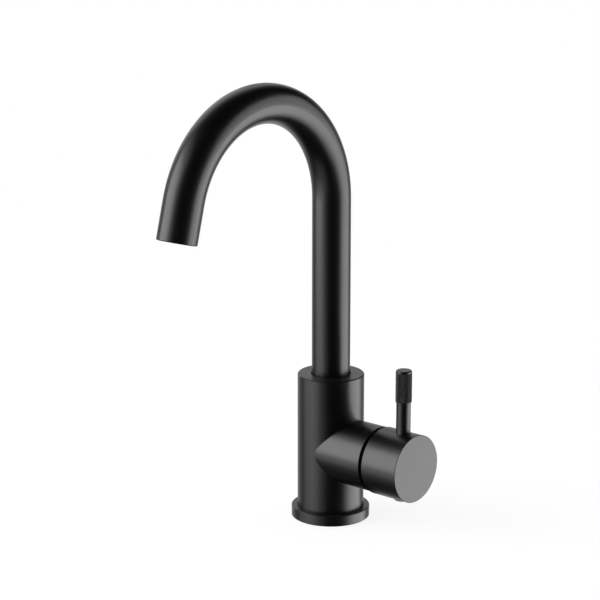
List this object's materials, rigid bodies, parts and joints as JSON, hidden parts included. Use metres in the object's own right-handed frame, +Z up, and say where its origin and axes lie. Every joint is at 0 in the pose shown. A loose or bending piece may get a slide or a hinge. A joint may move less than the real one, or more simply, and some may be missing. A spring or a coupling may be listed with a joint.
{
  "type": "basin mixer tap",
  "caption": "Tall lever-operated basin mixer tap with a swivelling swan-neck spout, a side handle that tilts and turns on a ceramic disc cartridge, and an aerator outlet.",
  "frame": {"origin": "centre of the base, on the surface that the tap stands on", "axes": "+Z up along the column, -Y towards the spout outlet, +X along the side arm to the handle"},
  "size_m": [0.1026, 0.1884, 0.3106],
  "materials": {
    "black_coat": "satin black coat on brass",
    "dark_trim": "matt black coat",
    "black_plastic": "satin moulded plastic",
    "brass": "turned",
    "steel": "turned",
    "ceramic": "ground and lapped",
    "cartridge_plastic": "moulded",
    "moving_plastic": "moulded",
    "bearing_plastic": "turned",
    "aerator_plastic": "moulded",
    "rubber": "moulded"
  },
  "bodies": {
    "column": {"body": "black_coat", "base_ring": "black_coat", "base_seal": "rubber", "slip_ring": "bearing_plastic", "spout_grub_screw": "steel", "cartridge_base": "cartridge_plastic", "port_seals": "rubber", "disc_seals": "rubber", "fixed_disc": "ceramic", "cartridge_housing": "cartridge_plastic", "cartridge_nut": "brass", "trim_dome": "dark_trim"},
    "spout": {"spout_tube": "black_coat", "spout_tail": "brass", "spout_o_rings": "rubber", "tail_guide_ring": "bearing_plastic", "aerator_holder": "brass", "aerator_housing": "aerator_plastic", "aerator_jet_plate": "aerator_plastic", "aerator_grid": "aerator_plastic", "aerator_seal": "rubber"},
    "turning_sleeve": {"rotor": "moving_plastic", "pivot_pin": "steel"},
    "handle": {"stem": "steel", "handle_cap": "black_coat", "lever_rod": "black_coat", "knurled_grip": "black_coat", "handle_grub_screw": "steel", "index_plug": "black_plastic"},
    "mixing_disc": {"moving_disc": "ceramic", "disc_carrier": "moving_plastic"}
  },
  "joints": [
    {"name": "spout_swivel", "type": "hinge", "parent": "column", "child": "spout", "pos_m": [0, 0, 0.088], "axis": [0, 0, 1], "continuous": true},
    {"name": "handle_turn", "type": "hinge", "parent": "column", "child": "turning_sleeve", "pos_m": [0.0327, 0, 0.04955], "axis": [1, 0, 0], "range_deg": [-45, 45]},
    {"name": "handle_lift", "type": "hinge", "parent": "turning_sleeve", "child": "handle", "pos_m": [0.0327, 0, 0.04955], "axis": [0, 1, 0], "range_deg": [0, 20]},
    {"name": "disc_slide", "type": "slide", "parent": "turning_sleeve", "child": "mixing_disc", "axis": [0, 0, 1], "range_m": [0, 0.0035]}
  ],
  "couplings": [
    {"joint": "disc_slide", "follows": "handle_lift", "m_per_rad": 0.009798}
  ]
}
